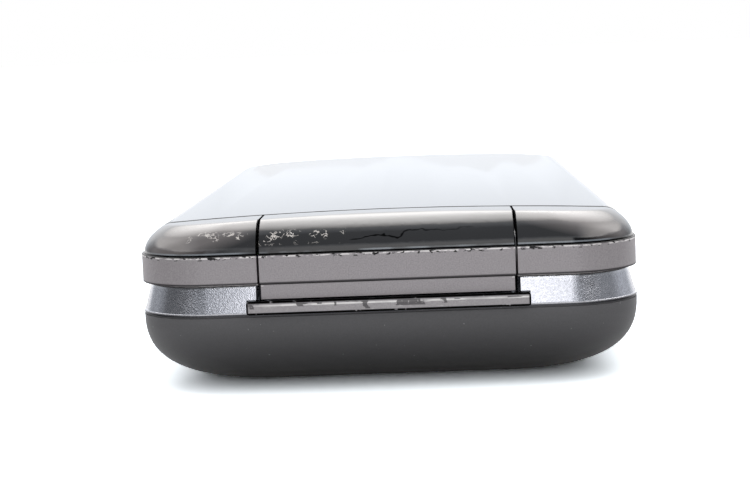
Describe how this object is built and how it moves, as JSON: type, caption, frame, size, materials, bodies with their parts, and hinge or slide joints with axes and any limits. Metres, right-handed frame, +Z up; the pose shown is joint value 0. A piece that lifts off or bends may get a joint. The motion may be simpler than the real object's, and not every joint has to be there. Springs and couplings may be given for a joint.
{
  "type": "flip phone",
  "caption": "Closed flip phone with a rounded base, glossy lid, segmented hinge end, keypad, battery cover and a sprung press on every key.",
  "frame": {"origin": "centre of the closed phone's bounding box, at its underside", "axes": "+X across the width, +Y along the length from the hinge end to the free end, +Z up through the lid"},
  "size_m": [0.0492, 0.1086, 0.0171],
  "materials": {
    "charcoal_soft_touch": "soft-touch painted",
    "silver_blue_paint": "metallic painted plastic",
    "grey_metallic_paint": "metallic painted plastic",
    "bezel_grey": "fine matte paint",
    "bar_paint": "worn metallic paint",
    "gloss_black": "high gloss",
    "display_glass": "polished",
    "lens_glass": "polished",
    "display_stack": "dark panel",
    "board_green": "solder mask",
    "dome_film": "clear film over steel domes",
    "can_steel": "stamped",
    "ground_steel": "turned",
    "spring_steel": "drawn wire",
    "black_plastic": "moulded",
    "bearing_plastic": "acetal",
    "flex_film": "polyimide film",
    "antenna_brass": "stamped",
    "battery_wrap": "label-free wrap",
    "rubber_black": "matte",
    "key_black": "satin gloss",
    "nav_silver": "metallic painted"
  },
  "bodies": {
    "base": {"rear_case": "charcoal_soft_touch", "key_case": "silver_blue_paint", "hinge_bar": "bar_paint", "left_knuckle": "grey_metallic_paint", "right_knuckle": "grey_metallic_paint", "left_hinge_cap": "gloss_black", "right_hinge_cap": "gloss_black", "main_board": "board_green", "dome_sheet": "dome_film", "board_shield": "can_steel", "loudspeaker": "black_plastic", "camera_module": "black_plastic", "camera_window": "lens_glass", "vibration_motor": "can_steel", "microphone": "black_plastic", "charge_connector": "can_steel", "antenna": "antenna_brass", "case_screws": "ground_steel", "screw_plugs": "rubber_black", "hinge_shaft": "ground_steel", "hinge_bush": "bearing_plastic", "flex_cable": "flex_film", "battery": "battery_wrap"},
    "lid": {"lid_frame": "grey_metallic_paint", "lid_bezel": "bezel_grey", "lid_panel": "gloss_black", "centre_hinge_cap": "gloss_black", "display_window": "display_glass", "display_module": "display_stack", "lid_board": "board_green", "earpiece": "black_plastic", "lid_magnet": "can_steel", "lid_pads": "rubber_black", "hinge_can": "can_steel", "cam_follower": "ground_steel", "hinge_spring": "spring_steel"},
    "battery_cover": {"battery_cover": "charcoal_soft_touch"},
    "connector_cover": {"connector_cover": "rubber_black"},
    "volume_key": {"volume_key": "grey_metallic_paint"},
    "nav_ring": {"nav_ring": "nav_silver"},
    "ok_key": {"ok_key": "key_black"},
    "key_1": {"key_1": "key_black"},
    "key_2": {"key_2": "key_black"},
    "key_3": {"key_3": "key_black"},
    "key_4": {"key_4": "key_black"},
    "key_5": {"key_5": "key_black"},
    "key_6": {"key_6": "key_black"},
    "key_7": {"key_7": "key_black"},
    "key_8": {"key_8": "key_black"},
    "key_9": {"key_9": "key_black"},
    "key_star": {"key_star": "key_black"},
    "key_0": {"key_0": "key_black"},
    "key_hash": {"key_hash": "key_black"},
    "call_key": {"call_key": "key_black"},
    "clear_key": {"clear_key": "key_black"},
    "end_key": {"end_key": "key_black"},
    "left_soft_key": {"left_soft_key": "key_black"},
    "right_soft_key": {"right_soft_key": "key_black"},
    "mail_key": {"mail_key": "key_black"},
    "web_key": {"web_key": "key_black"}
  },
  "joints": [
    {"name": "lid_hinge", "type": "hinge", "parent": "base", "child": "lid", "pos_m": [0, -0.0493, 0.01272], "axis": [1, 0, 0], "range_deg": [0, 158], "deforming": ["flex_cable"]},
    {"name": "battery_cover_slide", "type": "slide", "parent": "base", "child": "battery_cover", "axis": [0, 0, -1], "range_m": [0, 0.012]},
    {"name": "connector_cover_hinge", "type": "hinge", "parent": "base", "child": "connector_cover", "pos_m": [-0.0059, 0.0543, 0.006], "axis": [0, 0, 1], "range_deg": [0, 100]},
    {"name": "volume_rock", "type": "hinge", "parent": "base", "child": "volume_key", "pos_m": [0.0222, -0.01202, 0.00898], "axis": [0, 0, 1], "range_deg": [-1, 1], "stiffness_Nm_per_rad": 0.6},
    {"name": "nav_ring_press", "type": "slide", "parent": "base", "child": "nav_ring", "axis": [0, 0, -1], "range_m": [0, 0.0003], "stiffness_N_per_m": 3000},
    {"name": "ok_key_press", "type": "slide", "parent": "base", "child": "ok_key", "axis": [0, 0, -1], "range_m": [0, 0.0003], "stiffness_N_per_m": 3000},
    {"name": "key_1_press", "type": "slide", "parent": "base", "child": "key_1", "axis": [0, 0, -1], "range_m": [0, 0.0003], "stiffness_N_per_m": 3000},
    {"name": "key_2_press", "type": "slide", "parent": "base", "child": "key_2", "axis": [0, 0, -1], "range_m": [0, 0.0003], "stiffness_N_per_m": 3000},
    {"name": "key_3_press", "type": "slide", "parent": "base", "child": "key_3", "axis": [0, 0, -1], "range_m": [0, 0.0003], "stiffness_N_per_m": 3000},
    {"name": "key_4_press", "type": "slide", "parent": "base", "child": "key_4", "axis": [0, 0, -1], "range_m": [0, 0.0003], "stiffness_N_per_m": 3000},
    {"name": "key_5_press", "type": "slide", "parent": "base", "child": "key_5", "axis": [0, 0, -1], "range_m": [0, 0.0003], "stiffness_N_per_m": 3000},
    {"name": "key_6_press", "type": "slide", "parent": "base", "child": "key_6", "axis": [0, 0, -1], "range_m": [0, 0.0003], "stiffness_N_per_m": 3000},
    {"name": "key_7_press", "type": "slide", "parent": "base", "child": "key_7", "axis": [0, 0, -1], "range_m": [0, 0.0003], "stiffness_N_per_m": 3000},
    {"name": "key_8_press", "type": "slide", "parent": "base", "child": "key_8", "axis": [0, 0, -1], "range_m": [0, 0.0003], "stiffness_N_per_m": 3000},
    {"name": "key_9_press", "type": "slide", "parent": "base", "child": "key_9", "axis": [0, 0, -1], "range_m": [0, 0.0003], "stiffness_N_per_m": 3000},
    {"name": "key_star_press", "type": "slide", "parent": "base", "child": "key_star", "axis": [0, 0, -1], "range_m": [0, 0.0003], "stiffness_N_per_m": 3000},
    {"name": "key_0_press", "type": "slide", "parent": "base", "child": "key_0", "axis": [0, 0, -1], "range_m": [0, 0.0003], "stiffness_N_per_m": 3000},
    {"name": "key_hash_press", "type": "slide", "parent": "base", "child": "key_hash", "axis": [0, 0, -1], "range_m": [0, 0.0003], "stiffness_N_per_m": 3000},
    {"name": "call_key_press", "type": "slide", "parent": "base", "child": "call_key", "axis": [0, 0, -1], "range_m": [0, 0.0003], "stiffness_N_per_m": 3000},
    {"name": "clear_key_press", "type": "slide", "parent": "base", "child": "clear_key", "axis": [0, 0, -1], "range_m": [0, 0.0003], "stiffness_N_per_m": 3000},
    {"name": "end_key_press", "type": "slide", "parent": "base", "child": "end_key", "axis": [0, 0, -1], "range_m": [0, 0.0003], "stiffness_N_per_m": 3000},
    {"name": "left_soft_key_press", "type": "slide", "parent": "base", "child": "left_soft_key", "axis": [0, 0, -1], "range_m": [0, 0.0003], "stiffness_N_per_m": 3000},
    {"name": "right_soft_key_press", "type": "slide", "parent": "base", "child": "right_soft_key", "axis": [0, 0, -1], "range_m": [0, 0.0003], "stiffness_N_per_m": 3000},
    {"name": "mail_key_press", "type": "slide", "parent": "base", "child": "mail_key", "axis": [0, 0, -1], "range_m": [0, 0.0003], "stiffness_N_per_m": 3000},
    {"name": "web_key_press", "type": "slide", "parent": "base", "child": "web_key", "axis": [0, 0, -1], "range_m": [0, 0.0003], "stiffness_N_per_m": 3000}
  ]
}
